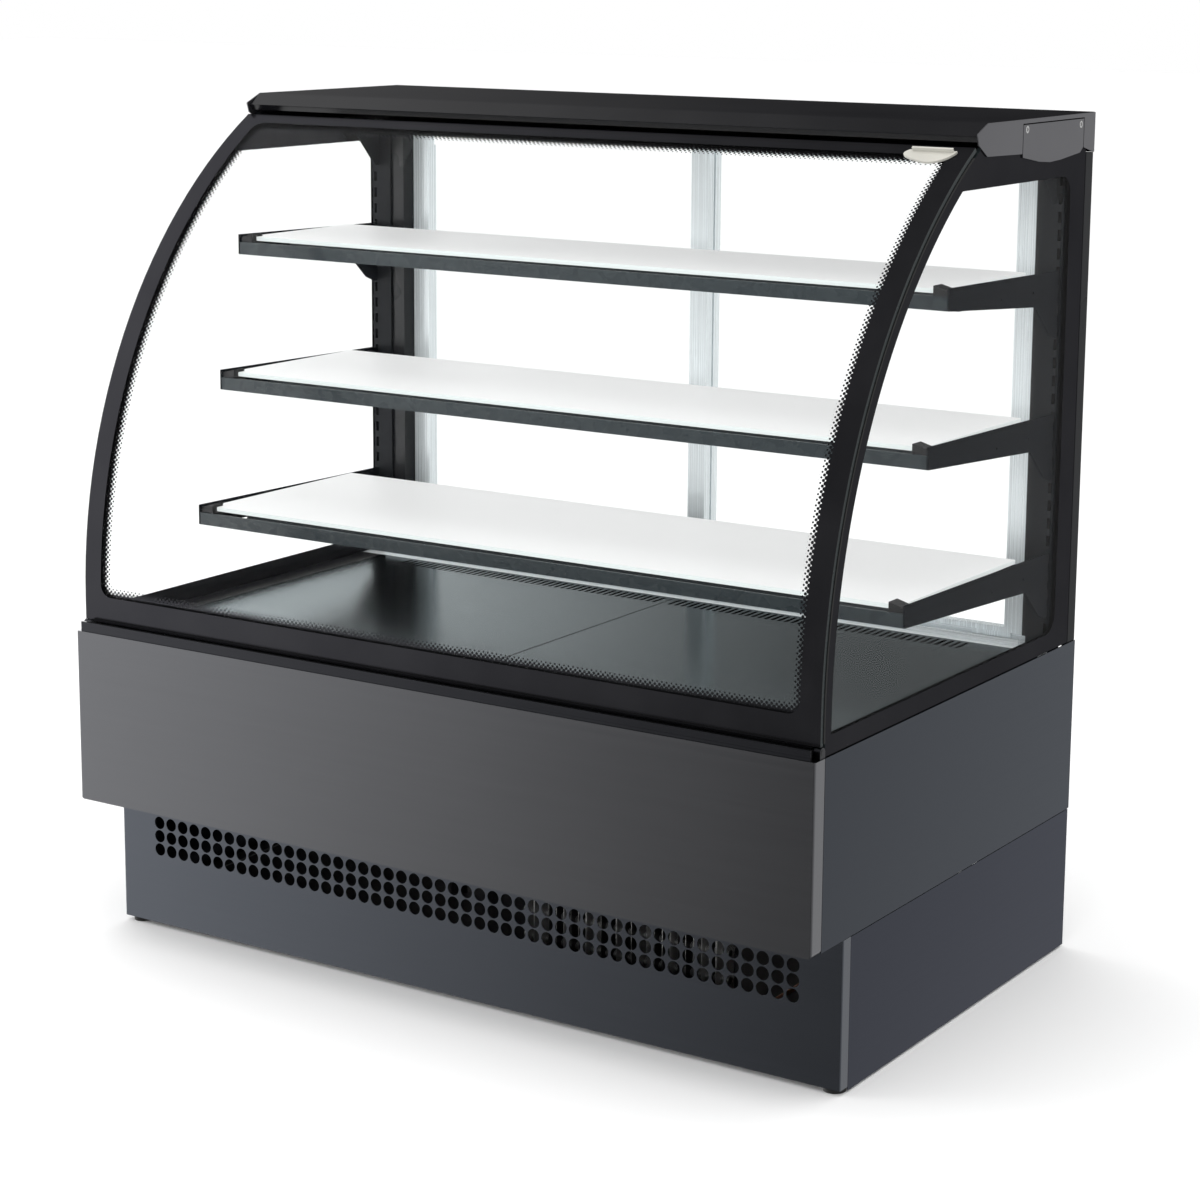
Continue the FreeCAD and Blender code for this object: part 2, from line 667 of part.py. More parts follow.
def door_tracks():
    y_front, y_back = FRONT_DOOR_Y + DOOR_T / 2, REAR_DOOR_Y + DOOR_T / 2
    half = TRACK_HALF
    lower = [
        box(-half, half, 665, 736, DECK_TOP, 461),
        box(-half, half, 665, 667, 461, 468),
        box(-half, half, y_front - 1.5, y_front + 1.5, 461, 468),
        box(-half, half, y_back - 1.5, y_back + 1.5, 461, 468),
        box(-half, half, 734, 736, 461, 468),
    ]
    upper = [
        box(-half, half, 687, 736, CEILING, CEILING + 3),
        box(-half, half, 687, 689, 1147, CEILING),
        box(-half, half, y_front - 1.5, y_front + 1.5, 1148, CEILING),
        box(-half, half, y_back - 1.5, y_back + 1.5, 1148, CEILING),
        box(-half, half, 734, 736, 1147, CEILING),
    ]
    save("door_tracks", fused(lower), fused(upper))


def posts_and_jambs():
    """Corner posts behind the side glass and the jambs that the doors close against."""
    outer = box(556.5, 598.5, REAR_POST_FRONT, DEPTH, BODY_TOP + 0.5, POST_TOP)
    inner = box(558, 597, REAR_POST_FRONT - 1, DEPTH - 1.5, BODY_TOP - 1, POST_TOP + 1)
    jamb_z = (DOOR_BOTTOM, DOOR_TOP)
    right = box(RIGHT_DOOR_X[1] + 0.5, TRACK_HALF, 690, 733.5, *jamb_z)
    left = box(-TRACK_HALF, LEFT_DOOR_X[0] - 0.5, 690, 733.5, *jamb_z)
    save("rear_posts_and_jambs", *pair(outer.cut(inner)), right, left)


def door_bars(x0, x1, y):
    """Two stiles and two rails that meet face to face."""
    back = y + DOOR_T
    return [
        box(x0, x0 + STILE, y, back, DOOR_BOTTOM, DOOR_TOP),
        box(x1 - STILE, x1, y, back, DOOR_BOTTOM, DOOR_TOP),
        box(x0 + STILE, x1 - STILE, y, back, DOOR_BOTTOM, DOOR_BOTTOM + DOOR_FOOT_RAIL),
        box(x0 + STILE, x1 - STILE, y, back, DOOR_TOP - DOOR_HEAD_RAIL, DOOR_TOP),
    ]


def door_glides(x0, x1, y):
    """Nylon shoes that straddle the track ribs below and above the door."""
    centre = y + DOOR_T / 2
    shoes = []
    for x in (x0 + 20, x1 - 80):
        for z0, z1 in ((461.5, DOOR_BOTTOM), (DOOR_TOP, CEILING - 0.5)):
            shoes.append(box(x, x + 60, centre - 5, centre - 2, z0, z1))
            shoes.append(box(x, x + 60, centre + 2, centre + 5, z0, z1))
    return shoes


def pull_strip(x0, x1, y0, y1):
    """A full-height finger pull: a flat strip with a lip along each side, meeting face to face."""
    floor = y0 + 0.4 * (y1 - y0)
    return [
        box(x0, x1, y0, floor, PULL_Z[0], PULL_Z[1]),
        box(x0, x0 + PULL_LIP, floor, y1, PULL_Z[0], PULL_Z[1]),
        box(x1 - PULL_LIP, x1, floor, y1, PULL_Z[0], PULL_Z[1]),
    ]


def sliding_door(name, x_range, y, pull_x, pull_depth):
    x0, x1 = x_range
    back = y + DOOR_T
    pull = pull_strip(pull_x, pull_x + 20, back, back + pull_depth)
    save(name + "_frame", *door_bars(x0, x1, y), *pull, *door_glides(x0, x1, y))
    centre = y + DOOR_T / 2
    save(name + "_glass", box(x0 + STILE, x1 - STILE, centre - 3, centre + 3,
                              DOOR_BOTTOM + DOOR_FOOT_RAIL, DOOR_TOP - DOOR_HEAD_RAIL))


def rear_doors():
    sliding_door("right_door", RIGHT_DOOR_X, FRONT_DOOR_Y, RIGHT_DOOR_X[1] - 25, 4.5)
    sliding_door("left_door", LEFT_DOOR_X, REAR_DOOR_Y, LEFT_DOOR_X[0] + 5, 10.0)


# Cooling machinery

def fan(name, x, y, z, radius, hub_radius, width, blades, shaft_length):
    """An axial fan on its shaft; the shaft points towards +y, into the motor."""
    hub = rod(hub_radius, (x, y, z), Y_AXIS, width)
    shaft = rod(SHAFT_RADIUS, (x, y, z), Y_AXIS, shaft_length)
    wheel = [hub, shaft]
    span = radius - hub_radius + 4
    for k in range(blades):
        blade = box(-0.42 * radius, 0.42 * radius, -1, 1, 0, span)
        blade.rotate(Vector(0, 0, 0), Z_AXIS, 28)
        blade.translate(Vector(x, y + width / 2, z + hub_radius - 4))
        blade.rotate(Vector(x, y, z), Y_AXIS, k * 360 / blades)
        wheel.append(blade)
    envelope = rod(radius, (x, y - 100, z), Y_AXIS, 200 + shaft_length)
    save(name, fused(wheel).common(envelope))


def motor(x, y, z, radius, length, foot_z):
    body = rod(radius, (x, y, z), Y_AXIS, length)
    bracket = box(x - 12, x + 12, y + length * 0.4, y + length * 0.4 + 6, foot_z, z)
    bore = rod(SHAFT_RADIUS + RUNNING_GAP, (x, y - 1, z), Y_AXIS, length)
    return fused([body, bracket]).cut(bore)


def fans_and_motors():
    fan("condenser_fan", FAN_X, 200, FAN_Z, CONDENSER_FAN_RADIUS, 24, 26, 5, 60)
    motors = [motor(FAN_X, 232, FAN_Z, 38, 70, 37 + SHEET)]
    for x, side in ((-EVAPORATOR_FAN_X, "left"), (EVAPORATOR_FAN_X, "right")):
        fan("evaporator_fan_" + side, x, 300, EVAPORATOR_FAN_Z, EVAPORATOR_FAN_RADIUS, 14, 18, 5, 45)
        motors.append(motor(x, 325, EVAPORATOR_FAN_Z, 22, 40, WELL_BASE + FOAM + LINER))
    save("fan_motors", *motors)


def heat_exchanger(x0, x1, y0, y1, z0, z1, fins, rows):
    """A finned coil: end plates, a row of fins and the tubes that run through them."""
    plates = [box(x0, x0 + 2, y0, y1, z0, z1), box(x1 - 2, x1, y0, y1, z0, z1)]
    step = (x1 - x0) / (fins + 1)
    plates += [box(x0 + k * step, x0 + k * step + 0.8, y0, y1, z0 + 2, z1 - 2)
               for k in range(1, fins + 1)]
    gap = (z1 - z0) / rows
    tubes = [rod(4.8, (x0 - 12, y, z0 + gap * (k + 0.5)), X_AXIS, x1 - x0 + 24)
             for k in range(rows) for y in ((y0 * 2 + y1) / 3, (y0 + y1 * 2) / 3)]
    return fused(plates + tubes)


def coils():
    save("condenser_coil", heat_exchanger(90, 390, 130, 175, 40, 262, 24, 6))
    save("evaporator_coil", heat_exchanger(-420, 420, 450, 560, 345, 435, 28, 3))


def fan_shroud():
    plate = box(90, 390, 183, 185, 38.2, 262)
    opening = rod(CONDENSER_FAN_RADIUS + 6, (FAN_X, 180, FAN_Z), Y_AXIS, 10)
    ring = rod(CONDENSER_FAN_RADIUS + 8, (FAN_X, 183, FAN_Z), Y_AXIS, 24)
    bore = rod(CONDENSER_FAN_RADIUS + 6, (FAN_X, 180, FAN_Z), Y_AXIS, 30)
    save("fan_shroud", fused([plate.cut(opening), ring.cut(bore)]))


def compressor():
    x, y, base = -120.0, 420.0, 37 + SHEET
    shell = rod(78, (x, y, base + 24), Z_AXIS, 150)
    shell = filleted(shell, 45, lambda c, e: c.z > base + 170)
    shell = filleted(shell, 20, lambda c, e: c.z < base + 26)
    feet = box(x - 95, x + 95, y - 60, y + 60, base + 20, base + 28)
    mounts = [rod(12, (x + dx, y + dy, base), Z_AXIS, 21) for dx in (-80, 80) for dy in (-45, 45)]
    terminals = box(x - 30, x + 30, y + 70, y + 100, base + 60, base + 130)
    save("compressor", fused([shell, feet, terminals] + mounts))


def pipe(points, radius, bend):
    """A round pipe along straight runs joined by tangent arcs."""
    corners = [Vector(*point) for point in points]
    edges = []
    start = corners[0]
    for before, corner, after in zip(corners, corners[1:], corners[2:]):
        back = (before - corner).normalize()
        ahead = (after - corner).normalize()
        half_turn = back.getAngle(ahead) / 2
        reach = bend / math.tan(half_turn)
        tangent_in = corner + back * reach
        tangent_out = corner + ahead * reach
        middle = corner + (back + ahead).normalize() * (bend / math.sin(half_turn) - bend)
        edges.append(Part.makeLine(start, tangent_in))
        edges.append(Part.Arc(tangent_in, middle, tangent_out).toShape())
        start = tangent_out
    edges.append(Part.makeLine(start, corners[-1]))
    circle = Part.makeCircle(radius, corners[0], corners[1] - corners[0])
    return Part.Wire(edges).makePipeShell([Part.Wire(circle)], True, True)


def refrigerant_lines():
    discharge = pipe([(-41, 420, 120), (0, 420, 120), (0, 470, 120), (405.5, 470, 120),
                      (405.5, 300, 120), (405.5, 145, 225)], 3.2, 14)
    suction = pipe([(-199, 420, 120), (-240, 420, 120), (-240, 560, 120), (-240, 560, 298)], 4.8, 18)
    liquid = pipe([(405.5, 162, 60), (440, 162, 60), (440, 500, 60), (300, 500, 60)], 3.2, 14)
    drier = rod(12, (180, 500, 60), X_AXIS, 120)
    save("refrigerant_lines", discharge, suction, liquid, drier)


# Controls and mains inlet at the back

def rocker_switch(name, x):
    """A two-position rocker whose finger side is a shallow V, seen along x."""
    half = ROCKER_HALF_HEIGHT
    rise = half * math.tan(math.radians(ROCKER_TILT))
    y0 = PANEL_FACE - 4
    face = PANEL_FACE + 0.2
    outline = [(y0, PANEL_Z - half), (face + rise, PANEL_Z - half), (face, PANEL_Z),
               (face + rise, PANEL_Z + half), (y0, PANEL_Z + half)]
    rocker = prism_x(outline, x - ROCKER_HALF_WIDTH, x + ROCKER_HALF_WIDTH)
    rocker.rotate(Vector(x, y0, PANEL_Z), X_AXIS, -ROCKER_TILT)
    save(name, rocker)


def control_panel():
    bezel = box(PANEL_X - PANEL_HALF_WIDTH, PANEL_X + PANEL_HALF_WIDTH, REAR_PANEL_Y + SHEET,
                PANEL_FACE, PANEL_Z - PANEL_HALF_HEIGHT, PANEL_Z + PANEL_HALF_HEIGHT)
    bezel = filleted(bezel, 2.0, lambda c, e: c.y > PANEL_FACE - 0.01 and
                     (abs(abs(c.x - PANEL_X) - PANEL_HALF_WIDTH) < 0.01
                      or abs(abs(c.z - PANEL_Z) - PANEL_HALF_HEIGHT) < 0.01))
    y0, y1 = REAR_PANEL_Y, PANEL_FACE + 1
    cuts = [box(x - ROCKER_HALF_WIDTH - 0.6, x + ROCKER_HALF_WIDTH + 0.6, y0, y1,
                PANEL_Z - ROCKER_HALF_HEIGHT - 1.4, PANEL_Z + ROCKER_HALF_HEIGHT + 1.4)
            for x in ROCKER_X]
    cuts += [rod(BUTTON_RADIUS + 0.4, (x, y0, BUTTON_Z), Y_AXIS, y1 - y0) for x in BUTTON_X]
    lens = box(-315, -253, PANEL_FACE - 2, PANEL_FACE, 380, 408)
    save("control_bezel", bezel.cut(cuts + [lens]))
    save("display_lens", lens)
    rocker_switch("power_switch", ROCKER_X[0])
    rocker_switch("light_switch", ROCKER_X[1])
    for name, x in zip(("button_set", "button_up", "button_down"), BUTTON_X):
        button = rod(BUTTON_RADIUS, (x, PANEL_FACE - 3, BUTTON_Z), Y_AXIS, 4.5)
        save(name, filleted(button, 0.6, lambda c, e: c.y > PANEL_FACE + 1))


def power_inlet():
    """The mains entry: a junction box behind the rear panel and the gland that passes it."""
    junction = box(420, 540, 680, 745, 150, 260)
    gland = rod(GLAND_RADIUS, (GLAND_X, 751, GLAND_Z), Y_AXIS, 6.5)
    bore = rod(CABLE_RADIUS, (GLAND_X, 735, GLAND_Z), Y_AXIS, 30)
    nut = rod(GLAND_RADIUS + 2, (GLAND_X, 745, GLAND_Z), Y_AXIS, 6.5)
    save("power_inlet", junction, fused([gland, nut]).cut(bore))


def main():
    os.makedirs("parts", exist_ok=True)
    base_frame()
    for depth_name, y in zip(("front", "rear"), POST_Y):
        for side_name, x in (("left", -POST_X), ("right", POST_X)):
            levelling_foot("foot_" + depth_name + "_" + side_name, x, y)
    base_tray()
    plinth_front_panel()
    side_panels()
    bumper_front_panel()
    rear_panels()
    well()
    deck_rim()
    deck_pans()
    front_glass()
    glass_hinge()
    glass_grip()
    side_glazing()
    posts_and_jambs()
    roof_panel()
    roof_sides()
    ceiling_and_light()
    shelf_uprights()
    shelves()
    door_tracks()
    rear_doors()
    fans_and_motors()
    coils()
    fan_shroud()
    compressor()
    refrigerant_lines()
    control_panel()
    power_inlet()


main()
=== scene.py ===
"""A curved-glass bakery display case: finishes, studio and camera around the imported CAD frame.

The CAD holds every shape and size. This script gives each part its finish and sets up a plain
pale studio with the camera.
All lengths are in metres, in the part's own frame.
"""

import math

import bpy
from mathutils import Matrix, Vector


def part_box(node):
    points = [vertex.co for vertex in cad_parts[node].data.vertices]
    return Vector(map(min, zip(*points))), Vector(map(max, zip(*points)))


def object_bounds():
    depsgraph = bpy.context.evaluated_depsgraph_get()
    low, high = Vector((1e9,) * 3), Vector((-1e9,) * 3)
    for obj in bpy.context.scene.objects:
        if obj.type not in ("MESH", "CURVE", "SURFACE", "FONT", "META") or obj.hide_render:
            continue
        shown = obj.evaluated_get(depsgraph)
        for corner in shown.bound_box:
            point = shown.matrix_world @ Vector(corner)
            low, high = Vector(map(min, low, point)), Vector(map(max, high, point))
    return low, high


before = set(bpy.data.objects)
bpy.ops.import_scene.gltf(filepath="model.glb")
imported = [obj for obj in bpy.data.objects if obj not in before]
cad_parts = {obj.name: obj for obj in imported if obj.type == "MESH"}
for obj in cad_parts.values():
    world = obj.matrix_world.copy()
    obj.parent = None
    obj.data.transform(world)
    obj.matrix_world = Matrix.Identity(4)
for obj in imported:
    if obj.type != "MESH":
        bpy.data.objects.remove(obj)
cad_low, cad_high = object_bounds()


# ---------------------------------------------------------------- node graphs

# Nearly all of a noise texture's values lie between these two.
NOISE_LOW = 0.3
NOISE_HIGH = 0.7


class Graph:
    """One material's node tree, built with short calls."""

    def __init__(self, name):
        self.material = bpy.data.materials.new(name)
        self.material.use_nodes = True
        self.tree = self.material.node_tree
        self.tree.nodes.clear()
        self.place = self.node("ShaderNodeTexCoord")

    def node(self, kind, inputs=None, **settings):
        """Adds a node; an input given as a socket is linked, and any other value is set on it."""
        made = self.tree.nodes.new(kind)
        for name, value in settings.items():
            setattr(made, name, value)
        for name, value in (inputs or {}).items():
            socket = made.inputs[name]
            if isinstance(value, bpy.types.NodeSocket):
                self.tree.links.new(value, socket)
            else:
                socket.default_value = value
        return made

    def math(self, operation, first, second=0.0, clamp=False):
        made = self.node("ShaderNodeMath", {0: first, 1: second}, operation=operation)
        made.use_clamp = clamp
        return made.outputs[0]

    def axes(self, vector):
        return self.node("ShaderNodeSeparateXYZ", {0: vector}).outputs

    def stretched(self, scale):
        """Object coordinates with each axis scaled, for grain that runs one way."""
        mapping = self.node("ShaderNodeMapping", {"Vector": self.place.outputs["Object"]})
        mapping.inputs["Scale"].default_value = scale
        return mapping.outputs[0]

    def noise(self, scale, detail=3.0, roughness=0.5, vector=None):
        source = vector or self.place.outputs["Object"]
        values = {"Vector": source, "Scale": scale, "Detail": detail, "Roughness": roughness}
        return self.node("ShaderNodeTexNoise", values).outputs["Fac"]

    def spread(self, value, low, high, new_low=0.0, new_high=1.0):
        """Maps value from low..high to new_low..new_high, clamped."""
        values = {"Value": value, "From Min": low, "From Max": high,
                  "To Min": new_low, "To Max": new_high}
        return self.node("ShaderNodeMapRange", values).outputs[0]

    def vary(self, noise, low=0.0, high=1.0):
        """Spreads a noise value, which mostly stays near its middle, over low..high."""
        return self.spread(noise, NOISE_LOW, NOISE_HIGH, low, high)

    def colours(self, factor, first, second):
        """Mixes two colours, each a socket or three numbers."""
        mix = self.node("ShaderNodeMix", {"Factor": factor}, data_type="RGBA")
        for socket, value in ((mix.inputs[6], first), (mix.inputs[7], second)):
            if isinstance(value, bpy.types.NodeSocket):
                self.tree.links.new(value, socket)
            else:
                socket.default_value = (*value, 1.0)
        return mix.outputs[2]

    def bump(self, height, strength, distance):
        values = {"Height": height, "Strength": strength, "Distance": distance}
        return self.node("ShaderNodeBump", values).outputs[0]

    def principled(self, **values):
        names = {key.replace("_", " ").title().replace("Ior", "IOR"): value
                 for key, value in values.items()}
        return self.node("ShaderNodeBsdfPrincipled", names).outputs[0]

    def mix_shaders(self, factor, first, second):
        made = self.node("ShaderNodeMixShader", {0: factor})
        self.tree.links.new(first, made.inputs[1])
        self.tree.links.new(second, made.inputs[2])
        return made.outputs[0]

    def add_shaders(self, first, second):
        made = self.node("ShaderNodeAddShader")
        self.tree.links.new(first, made.inputs[0])
        self.tree.links.new(second, made.inputs[1])
        return made.outputs[0]

    def finish(self, shader):
        output = self.node("ShaderNodeOutputMaterial")
        self.tree.links.new(shader, output.inputs["Surface"])
        return self.material


def tone(colour, factor):
    """A colour made brighter or darker by a factor."""
    return tuple(min(channel * factor, 1.0) for channel in colour)


# ---------------------------------------------------------------- finishes

FINE_LINES = 1400.0
COARSE_LINES = 420.0
SEAM_HALF_WIDTH = 0.0016
# Near-black line painted along a seam as the shade in the joint.
SEAM_SHADE_BLACK = (0.004, 0.004, 0.004)
WHITE = (1.0, 1.0, 1.0)


def brush_marks(graph, grain):
    """The fine brush lines along one axis, and the uneven wear that they make with a soft cloud."""
    fine = [FINE_LINES] * 3
    fine[grain] = 9.0
    lines = graph.noise(1.0, 2.0, 0.6, graph.stretched(fine))
    coarse = [COARSE_LINES] * 3
    coarse[grain] = 1.5
    bands = graph.noise(1.0, 3.0, 0.55, graph.stretched(coarse))
    cloud = graph.noise(4.0, 4.0)
    both = graph.math("ADD", graph.math("MULTIPLY", lines, 0.5), graph.math("MULTIPLY", bands, 0.5))
    worn = graph.math("ADD", graph.math("MULTIPLY", both, 0.8), graph.math("MULTIPLY", cloud, 0.2))
    return lines, worn


def brushed(name, colour, grain, roughness=0.34, contrast=0.06, depth=0.000006, face=None, cut=1.0,
            seam=None, tint=WHITE):
    """Brushed sheet. grain is the axis that the brush lines run along: 0, 1 or 2.

    face is the axis that the broad side faces, and returns and cut edges are cut times as bright: above
    one that is their bare cut steel, below one it is painted shade on returns that sit in a joint.
    seam is the x of a joint between two sheets, along which a near-black line is painted as the shade in
    the joint. tint scales the reflection at a glance.
    """
    graph = Graph(name)
    lines, worn = brush_marks(graph, grain)
    base = graph.colours(graph.vary(worn), tone(colour, 1 - contrast), tone(colour, 1 + contrast))
    if face is not None:
        facing = graph.math("ABSOLUTE", graph.axes(graph.place.outputs["Normal"])[face])
        # Returns and cut edges: a brighter tone is bare cut steel, a darker one is painted shade.
        bare_or_shaded_returns = graph.math("LESS_THAN", facing, 0.6)
        edge = graph.colours(graph.vary(worn), tone(colour, cut * 0.9), tone(colour, cut * 1.1))
        base = graph.colours(bare_or_shaded_returns, base, edge)
    # A near-black line painted along the seam as the shade in the joint.
    if seam is not None:
        x = graph.axes(graph.place.outputs["Object"])[0]
        from_seam = graph.math("ABSOLUTE", graph.math("SUBTRACT", x, seam))
        away = graph.spread(from_seam, SEAM_HALF_WIDTH, 2 * SEAM_HALF_WIDTH)
        base = graph.colours(away, SEAM_SHADE_BLACK, base)
    rough = graph.vary(worn, roughness - 0.02, roughness + 0.03)
    normal = graph.bump(lines, 0.15, depth)
    shader = graph.principled(base_color=base, metallic=1.0, roughness=rough, normal=normal,
                              specular_tint=(*tint, 1.0))
    return graph.finish(shader)


def painted(name, colour, roughness=0.4, grain_size=900.0, depth=0.00004, metallic=0.0, gloss=0.16):
    """Powder coat or spray paint with a fine orange peel and slightly uneven gloss."""
    graph = Graph(name)
    peel = graph.noise(grain_size, 3.0, 0.55)
    cloud = graph.noise(6.0, 4.0)
    speck = graph.noise(grain_size * 2.2, 2.0, 0.5)
    shade = graph.math("ADD", graph.math("MULTIPLY", speck, 0.55), graph.math("MULTIPLY", cloud, 0.45))
    base = graph.colours(graph.spread(shade, 0.35, 0.65), tone(colour, 0.94), tone(colour, 1.06))
    rough = graph.vary(cloud, roughness - 0.04, roughness + 0.06)
    values = {"base_color": base, "metallic": metallic, "roughness": rough,
              "specular_ior_level": gloss, "normal": graph.bump(peel, 0.3, depth)}
    return graph.finish(graph.principled(**values))


def lacquered(name, colour, sheen, roughness=0.22):
    """Dark lacquer: a near-black body under an even, low sheen."""
    graph = Graph(name)
    peel = graph.noise(240.0, 3.0, 0.5)
    cloud = graph.noise(5.0, 4.0)
    base = graph.colours(cloud, tone(colour, 0.85), tone(colour, 1.15))
    rough = graph.vary(cloud, roughness - 0.04, roughness + 0.05)
    normal = graph.bump(peel, 0.15, 0.00003)
    gloss = graph.colours(cloud, (sheen * 0.8,) * 3, (sheen * 1.2,) * 3)
    body = graph.node("ShaderNodeBsdfDiffuse", {"Color": base, "Normal": normal}).outputs[0]
    values = {"Color": gloss, "Roughness": rough, "Normal": normal}
    shine = graph.node("ShaderNodeBsdfGlossy", values).outputs[0]
    return graph.finish(graph.add_shaders(body, shine))


def moulded(name, colour, roughness=0.5, depth=0.00006):
    """Moulded plastic or rubber with a fine spark-eroded texture."""
    graph = Graph(name)
    texture = graph.noise(1600.0, 2.0, 0.6)
    cloud = graph.noise(14.0, 3.0)
    base = graph.colours(graph.vary(cloud), tone(colour, 0.9), tone(colour, 1.1))
    rough = graph.vary(cloud, roughness - 0.05, roughness + 0.08)
    shader = graph.principled(base_color=base, roughness=rough, specular_ior_level=0.25,
                              normal=graph.bump(texture, 0.35, depth))
    return graph.finish(shader)


def anodised(name, colour, grain, roughness=0.3, metallic=1.0):
    """Extruded and anodised aluminium, with faint die lines along grain."""
    graph = Graph(name)
    scale = [700.0, 700.0, 700.0]
    scale[grain] = 1.2
    lines = graph.noise(1.0, 3.0, 0.6, graph.stretched(scale))
    cloud = graph.noise(8.0, 3.0)
    mixed = graph.math("ADD", graph.math("MULTIPLY", lines, 0.7), graph.math("MULTIPLY", cloud, 0.3))
    base = graph.colours(graph.vary(mixed), tone(colour, 0.9), tone(colour, 1.08))
    rough = graph.vary(mixed, roughness - 0.05, roughness + 0.08)
    normal = graph.bump(lines, 0.25, 0.00001)
    shader = graph.principled(base_color=base, metallic=metallic, roughness=rough, normal=normal)
    return graph.finish(shader)


GLASS_TINT = (0.995, 0.999, 0.998)
PRINT_BLACK = (0.005, 0.005, 0.0055)
EDGE_GREEN = (0.016, 0.021, 0.022)
MIRROR_HEAD_ON = 0.0015
MIRROR_AT_A_GLANCE = 0.16


def clear_pane(graph, tint=GLASS_TINT):
    """Thin-walled clear glass: straight sight through it, and reflections that grow at a glance."""
    facing = graph.node("ShaderNodeLayerWeight", {"Blend": 0.5}).outputs["Facing"]
    glance = graph.math("POWER", facing, 5.0)
    mirror_share = graph.spread(glance, 0.0, 1.0, MIRROR_HEAD_ON, MIRROR_AT_A_GLANCE)
    smear = graph.spread(graph.noise(7.0, 4.0), 0.4, 0.8, 0.0, 0.03)
    through = graph.node("ShaderNodeBsdfTransparent", {"Color": (*tint, 1.0)}).outputs[0]
    mirror = graph.node("ShaderNodeBsdfGlossy", {"Roughness": smear}).outputs[0]
    return graph.mix_shaders(mirror_share, through, mirror)


def printed_black(graph):
    """The black ceramic print of a pane."""
    cloud = graph.noise(9.0, 3.0)
    base = graph.colours(cloud, tone(PRINT_BLACK, 0.8), tone(PRINT_BLACK, 1.3))
    rough = graph.vary(cloud, 0.10, 0.2)
    sheen = graph.colours(cloud, (0.012, 0.012, 0.014), (0.020, 0.020, 0.022))
    body = graph.node("ShaderNodeBsdfDiffuse", {"Color": base}).outputs[0]
    shine = graph.node("ShaderNodeBsdfGlossy", {"Color": sheen, "Roughness": rough}).outputs[0]
    return graph.add_shaders(body, shine)


def polished_edge(graph):
    """The ground edge of a glass sheet, where its green shows."""
    cloud = graph.noise(60.0, 3.0)
    base = graph.colours(cloud, tone(EDGE_GREEN, 0.8), tone(EDGE_GREEN, 1.2))
    rough = graph.vary(cloud, 0.2, 0.35)
    return graph.principled(base_color=base, roughness=rough, specular_ior_level=0.08)


def rounded_inside(graph, across, up, radius):
    """How far a point is inside a rectangle with rounded corners.

    across and up are its distances inside the nearer side and the nearer end.
    """
    side = graph.math("SUBTRACT", radius, across)
    end = graph.math("SUBTRACT", radius, up)
    side_out = graph.math("MAXIMUM", side, 0.0)
    end_out = graph.math("MAXIMUM", end, 0.0)
    squares = graph.math("ADD", graph.math("POWER", side_out, 2.0), graph.math("POWER", end_out, 2.0))
    corner = graph.math("SQRT", squares)
    deep = graph.math("MINIMUM", graph.math("MAXIMUM", side, end), 0.0)
    return graph.math("SUBTRACT", radius, graph.math("ADD", corner, deep))


# The bend of the glass is an arc in the YZ plane about this centre. Under the arc it is upright.
BEND_CENTRE_Y = cad_low.y + 0.802
BEND_CENTRE_Z = 0.500
BEND_RADIUS = 0.785
GLASS_THICKNESS = 0.006

# The clear field of the front glass, measured across and along the bent sheet.
CLEAR_HALF_WIDTH = 0.5675
CLEAR_BOTTOM = 0.5065
CLEAR_TOP = 1.2830
CLEAR_CORNER = 0.018

# The dot screen in which the print fades out.
DOT_PITCH = 0.0070
DOT_ZONE = 0.0140
LARGEST_DOT = 0.70
SMALLEST_DOT = 0.16

# The clear field of an end glass.
SIDE_CLEAR_RADIUS = 0.760
SIDE_CLEAR_REAR = cad_low.y + 0.690
SIDE_CLEAR_TOP = 1.117
SIDE_CLEAR_BOTTOM = 0.482
SIDE_CLEAR_CORNER = 0.028


def bend_reach(graph, rise, run):
    """Distance from the centre of the bend, or from the upright plane through it lower down."""
    lift = graph.math("MAXIMUM", rise, 0.0)
    squares = graph.math("ADD", graph.math("POWER", lift, 2.0), graph.math("POWER", run, 2.0))
    return graph.math("SQRT", squares)


def dot_screen(graph, x, girth, inside):
    """One inside the round dots of the print, which shrink from its edge inwards."""
    squares = []
    for diagonal in (graph.math("ADD", x, girth), graph.math("SUBTRACT", x, girth)):
        steps = graph.math("ADD", graph.math("DIVIDE", diagonal, DOT_PITCH), 100.0)
        offset = graph.math("SUBTRACT", graph.math("FRACT", steps), 0.5)
        squares.append(graph.math("POWER", graph.math("ABSOLUTE", offset), 2.0))
    from_dot = graph.math("SQRT", graph.math("ADD", *squares))
    dot_radius = graph.spread(inside, 0.0, DOT_ZONE, LARGEST_DOT, SMALLEST_DOT)
    in_zone = graph.math("LESS_THAN", inside, DOT_ZONE)
    return graph.math("MULTIPLY", graph.math("LESS_THAN", from_dot, dot_radius), in_zone)


